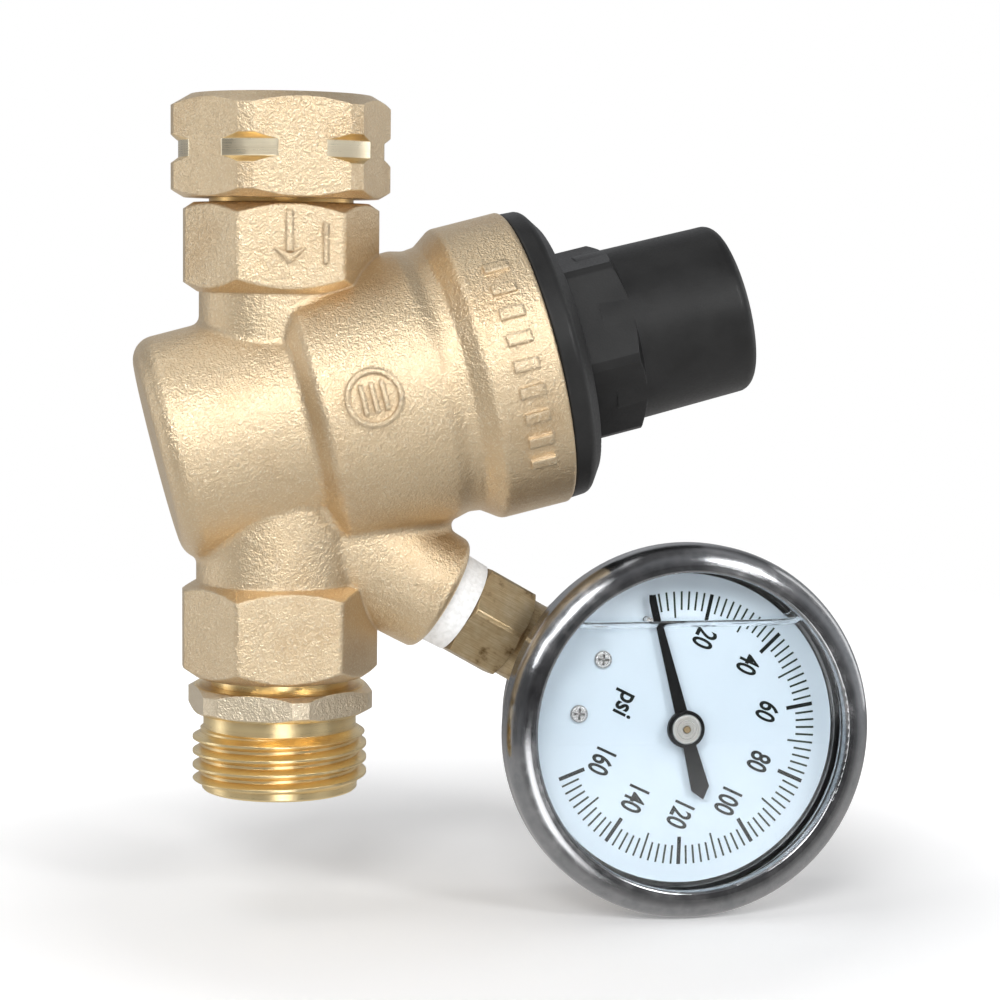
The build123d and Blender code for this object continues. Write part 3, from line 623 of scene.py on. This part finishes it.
def scale_ticks(ink, grey_ink):
    """Bars every 2 psi, longer at the tens and thick at the twenties, and the start mark."""
    thick, thin = bmesh.new(), bmesh.new()
    tick(thick, FIRST_TICK, START_TICK_INNER_R, THICK_TICK)
    for psi in range(FIRST_PSI, LAST_PSI + 1, 2):
        angle = (MIDDLE_PSI - psi) * PSI_STEP
        if psi % 20 == 0:
            tick(thick, angle, TWENTY_TICK_INNER_R, THICK_TICK)
        elif psi % 10 == 0:
            tick(thin, angle, TEN_TICK_INNER_R, THIN_TICK)
        else:
            tick(thin, angle, TWO_TICK_INNER_R, THIN_TICK)
    for name, work, material in (("dial_marks_main", thick, ink), ("dial_marks_fine", thin, grey_ink)):
        mesh = bpy.data.meshes.new(name)
        work.to_mesh(mesh)
        work.free()
        mesh_piece(name, mesh, material)


def lettering(text, height, squeeze, slope):
    """Mesh of a flat condensed text, centred, and height metres tall over all its letters."""
    curve = bpy.data.curves.new("text_" + text, "FONT")
    curve.body = text
    curve.align_x = "CENTER"
    curve.align_y = "CENTER"
    curve.offset = LETTER_WEIGHT
    curve.extrude = LETTER_EXTRUDE
    curve.shear = slope
    curve.resolution_u = 6
    maker = bpy.data.objects.new("text_maker", curve)
    bpy.context.scene.collection.objects.link(maker)
    bpy.context.view_layer.update()
    mesh = bpy.data.meshes.new_from_object(maker.evaluated_get(bpy.context.evaluated_depsgraph_get()))
    bpy.data.objects.remove(maker)
    bpy.data.curves.remove(curve)
    xs = [v.co.x for v in mesh.vertices]
    ys = [v.co.y for v in mesh.vertices]
    middle = Vector(((min(xs) + max(xs)) / 2, (min(ys) + max(ys)) / 2, 0))
    size = height / (max(ys) - min(ys))
    thickness = INK_HEIGHT / (2 * LETTER_EXTRUDE)
    for v in mesh.vertices:
        v.co -= middle
        v.co = Vector((v.co.x * size * squeeze, v.co.y * size, (v.co.z + LETTER_EXTRUDE) * thickness))
    return mesh


def place_lettering(mesh, across, upwards):
    """Moves a lettering mesh onto the dial, across and upwards of its centre."""
    turn = Matrix.Rotation(DIAL_UP - math.pi / 2, 4, "Z")
    shift = Matrix.Translation((across, upwards, DIAL_Z + PRINT_LIFT))
    mesh.transform(GAUGE @ turn @ shift @ Matrix.Rotation(LETTER_LEAN, 4, "Z"))


NUMBER_PLACES = (
    # psi, distance from the centre in mm
    (20, 14.2),
    (40, 14.2),
    (60, 13.7),
    (80, 13.4),
    (100, 13.7),
    (120, 13.5),
    (140, 13.3),
    (160, 13.9),
)


def dial_lettering(ink):
    """Numbers of the scale and its unit."""
    for psi, distance in NUMBER_PLACES:
        mesh = lettering(str(psi), 3.5 * MM, 0.64, -0.04)
        angle = (MIDDLE_PSI - psi) * PSI_STEP
        place_lettering(mesh, -math.sin(angle) * distance * MM, math.cos(angle) * distance * MM)
        mesh_piece(f"dial_number_{psi}", mesh, ink)
    mesh = lettering("psi", 4.1 * MM, 0.78, 0.0)
    place_lettering(mesh, 0.3 * MM, -10.5 * MM)
    mesh_piece("dial_unit", mesh, ink)


# ------------------------------------------------------------------ liquid in the gauge
LIQUID_ARC_STEPS = 96
LIQUID_TOP_STEPS = 60
LIQUID_DEPTH_STEPS = 14


def creep(distance, reach=1.2 * MM, height=1.6 * MM):
    """How far the liquid climbs a wall, at a distance from it."""
    return height * math.exp(-distance / reach)


def liquid_outline(depth):
    """Outline of the liquid across the gauge at one depth, as (sideways, upwards) points."""
    upright = GAUGE.inverted().to_3x3() @ Vector((0, 0, 1))
    lean = -upright.z * (depth - LIQUID_BACK_Z)
    wall = min(depth - DIAL_Z, LIQUID_FRONT_Z - depth)
    level = LIQUID_RISE + lean + creep(max(0, wall))
    half_width = math.sqrt(LIQUID_R ** 2 - LIQUID_RISE ** 2)
    start = math.atan2(LIQUID_RISE, half_width)
    points = []
    for i in range(LIQUID_ARC_STEPS + 1):
        turn = math.pi - start + (math.pi + 2 * start) * i / LIQUID_ARC_STEPS
        points.append((LIQUID_R * math.cos(turn), LIQUID_R * math.sin(turn)))
    for i in range(1, LIQUID_TOP_STEPS):
        s = math.cos(math.pi * i / LIQUID_TOP_STEPS) * half_width
        ceiling = math.sqrt(LIQUID_R ** 2 - s ** 2)
        height = level + creep(half_width - abs(s), 1.2 * MM, 1.0 * MM)
        points.append((s, min(height, ceiling)))
    return points


def liquid(material):
    """Glycerine that fills most of the gauge, up to a level surface that creeps up the walls."""
    inverse = GAUGE.inverted().to_3x3()
    upright = inverse @ Vector((0, 0, 1))
    upwards = Vector((upright.x, upright.y, 0)).normalized()
    sideways = Vector((upwards.y, -upwards.x, 0))
    depths = [LIQUID_BACK_Z, DIAL_Z - 0.01 * MM]
    for i in range(LIQUID_DEPTH_STEPS + 1):
        share = (1 - math.cos(math.pi * i / LIQUID_DEPTH_STEPS)) / 2
        depths.append(DIAL_Z + share * (LIQUID_FRONT_Z - DIAL_Z))
    work = bmesh.new()
    layers = []
    for depth in depths:
        ring = []
        for s, v in liquid_outline(depth):
            ring.append(work.verts.new(GAUGE @ (sideways * s + upwards * v + Vector((0, 0, depth)))))
        layers.append(ring)
    work.faces.new(layers[0])
    work.faces.new(layers[-1][::-1])
    for lower, upper in zip(layers, layers[1:]):
        for i in range(len(lower)):
            j = (i + 1) % len(lower)
            work.faces.new((lower[j], lower[i], upper[i], upper[j]))
    bmesh.ops.recalc_face_normals(work, faces=work.faces)
    mesh = bpy.data.meshes.new("glycerine_fill")
    work.to_mesh(mesh)
    work.free()
    mesh.shade_smooth()
    mesh.set_sharp_from_angle(angle=math.radians(35))
    mesh_piece("glycerine_fill", mesh, material)


# ------------------------------------------------------------------ floor, light and camera
FLOOR_Z = OBJECT_LOW.z
FLOOR_LIT_R = 0.06
FLOOR_SOLID_R = 0.16
FLOOR_FADE_R = 0.40


def floor():
    """Pale round floor that fades into the background."""
    work = bmesh.new()
    bmesh.ops.create_circle(work, cap_ends=True, radius=FLOOR_FADE_R + 0.05, segments=128)
    mesh = bpy.data.meshes.new("floor")
    work.to_mesh(mesh)
    work.free()
    plate = bpy.data.objects.new("floor", mesh)
    plate.location = (OBJECT_CENTRE.x, OBJECT_CENTRE.y, FLOOR_Z)
    bpy.context.scene.collection.objects.link(plate)
    finish = Finish("floor_finish", Base_Color=(0.95, 0.95, 0.95), Roughness=0.7)
    finish.set(finish.shader, "Specular IOR Level", 0.1)
    distance = finish.vector("LENGTH", finish.place())
    glow = finish.span(distance, FLOOR_LIT_R, FLOOR_SOLID_R, 0.14, 0.75)
    finish.put(Emission_Color=(1.0, 1.0, 1.0), Emission_Strength=glow)
    gone = finish.span(distance, FLOOR_SOLID_R, FLOOR_FADE_R, 0.0, 1.0)
    mixer = finish.tree.nodes.new("ShaderNodeMixShader")
    finish.set(mixer, 0, gone)
    finish.set(mixer, 1, finish.shader.outputs[0])
    finish.set(mixer, 2, finish.node("BsdfTransparent").outputs[0])
    finish.tree.links.new(mixer.outputs[0], finish.output.inputs["Surface"])
    mesh.materials.append(finish.material)
    plate.visible_glossy = False
    plate.visible_shadow = False


def soft_light(name, direction, distance, size, power, height=None):
    """Soft box that points at the object from a direction."""
    lamp = bpy.data.lights.new(name, "AREA")
    lamp.shape = "RECTANGLE"
    lamp.size = size
    lamp.size_y = height or size
    lamp.energy = power
    box = bpy.data.objects.new(name, lamp)
    away = Vector(direction).normalized()
    box.location = OBJECT_CENTRE + away * distance
    box.rotation_mode = "QUATERNION"
    box.rotation_quaternion = away.to_track_quat("Z", "Y")
    box.visible_camera = False
    bpy.context.scene.collection.objects.link(box)


def lamps():
    """Soft boxes of a light tent."""
    soft_light("key", (-0.28, -0.84, 0.52), 0.75, 0.25, 2.0)
    soft_light("fill", (0.50, -0.79, 0.40), 0.75, 0.15, 1.5)
    soft_light("low", (-0.05, -0.90, -0.28), 0.8, 0.28, 1.0)
    soft_light("left_front", (-0.62, -0.72, 0.40), 0.8, 0.16, 0.7)
    soft_light("top", (-0.35, 0.1, 1.0), 0.7, 0.45, 0.8)
    soft_light("left_rim", (-1.0, 0.25, 0.15), 0.6, 0.16, 0.4, height=0.5)
    soft_light("right_rim", (1.0, 0.3, 0.3), 0.6, 0.16, 0.55, height=0.5)


# the tent's walls, as the metal sees them
WALL_DARK = (0.16, 0.16, 0.163, 1)
WALL_BRIGHT = (0.55, 0.56, 0.58, 1)
TABLE_GLOW = (0.62, 0.61, 0.60, 1)
TABLE_SPAN = (-0.05, -0.35, 0.0, 1.0)  # how far down the view has to point to meet the table's glow
FRONT_SPAN = (-0.95, -0.5, 0.3, 1.0)  # how the tent darkens round the camera


def world_span(tree, value, span):
    """Output of a node that carries a value from one span of the tuple to the other."""
    made = tree.nodes.new("ShaderNodeMapRange")
    tree.links.new(value, made.inputs["Value"])
    for i, number in enumerate(span):
        made.inputs[i + 1].default_value = number
    return made.outputs[0]


def wall_colour(tree, coords):
    """Colour of the tent's walls: soft bright and dark panels."""
    panels = tree.nodes.new("ShaderNodeTexNoise")
    panels.inputs["Scale"].default_value = 1.5
    panels.inputs["Detail"].default_value = 2.0
    tree.links.new(coords, panels.inputs["Vector"])
    ramp = tree.nodes.new("ShaderNodeValToRGB")
    dark, bright = ramp.color_ramp.elements
    dark.position, dark.color = 0.40, WALL_DARK
    bright.position, bright.color = 0.62, WALL_BRIGHT
    tree.links.new(panels.outputs[0], ramp.inputs[0])
    return ramp.outputs[0]


def surroundings():
    """White for the camera, and for the metal a tent with panels, a bright table and a dim front."""
    world = bpy.data.worlds.new("studio")
    bpy.context.scene.world = world
    world.use_nodes = True
    tree = world.node_tree
    tree.nodes.clear()
    join = tree.links.new
    lit = tree.nodes.new("ShaderNodeBackground")
    seen = tree.nodes.new("ShaderNodeBackground")
    seen.inputs["Color"].default_value = (1, 1, 1, 1)
    seen.inputs["Strength"].default_value = 1.0
    coords = tree.nodes.new("ShaderNodeTexCoord").outputs["Generated"]
    split = tree.nodes.new("ShaderNodeSeparateXYZ")
    join(coords, split.inputs[0])
    glow = tree.nodes.new("ShaderNodeMix")
    glow.data_type = "RGBA"
    glow.inputs[7].default_value = TABLE_GLOW
    join(world_span(tree, split.outputs["Z"], TABLE_SPAN), glow.inputs["Factor"])
    join(wall_colour(tree, coords), glow.inputs[6])
    join(glow.outputs[2], lit.inputs["Color"])
    join(world_span(tree, split.outputs["Y"], FRONT_SPAN), lit.inputs["Strength"])
    mixer = tree.nodes.new("ShaderNodeMixShader")
    join(tree.nodes.new("ShaderNodeLightPath").outputs["Is Camera Ray"], mixer.inputs[0])
    join(lit.outputs[0], mixer.inputs[1])
    join(seen.outputs[0], mixer.inputs[2])
    join(mixer.outputs[0], tree.nodes.new("ShaderNodeOutputWorld").inputs["Surface"])


CAMERA_PLACE = Vector((-41.353, -393.669, -22.927)) * MM
CAMERA_YAW = math.radians(10.896)
CAMERA_PITCH = math.radians(5.547)
CAMERA_ROLL = math.radians(0.662)
CAMERA_LENS = 92.64


def camera():
    """Camera at the viewing angle of the reference view."""
    ahead = Vector(
        (
            math.sin(CAMERA_YAW) * math.cos(CAMERA_PITCH),
            math.cos(CAMERA_YAW) * math.cos(CAMERA_PITCH),
            -math.sin(CAMERA_PITCH),
        )
    )
    level = Vector((math.cos(CAMERA_YAW), -math.sin(CAMERA_YAW), 0))
    rise = level.cross(ahead)
    right = math.cos(CAMERA_ROLL) * level + math.sin(CAMERA_ROLL) * rise
    upward = -math.sin(CAMERA_ROLL) * level + math.cos(CAMERA_ROLL) * rise
    data = bpy.data.cameras.new("camera")
    data.lens = CAMERA_LENS
    data.sensor_width = 36
    data.clip_start = 0.01
    data.clip_end = 50
    eye = bpy.data.objects.new("camera", data)
    matrix = Matrix((right, upward, -ahead)).transposed().to_4x4()
    matrix.translation = CAMERA_PLACE
    eye.matrix_world = matrix
    bpy.context.scene.collection.objects.link(eye)
    bpy.context.scene.camera = eye


camera()
finish_nodes()
ink = black_paint("ink_black", (0.006, 0.008, 0.007), (0.014, 0.017, 0.015), 0.5)
grey_ink = black_paint("ink_dark_green", (0.020, 0.032, 0.022), (0.040, 0.055, 0.042), 0.5)
scale_ticks(ink, grey_ink)
dial_lettering(ink)
liquid(clear("glycerine_finish", 1.46, (0.96, 0.985, 1.0), 14 * MM))
floor()
lamps()
surroundings()
bpy.context.scene.view_settings.view_transform = "Standard"
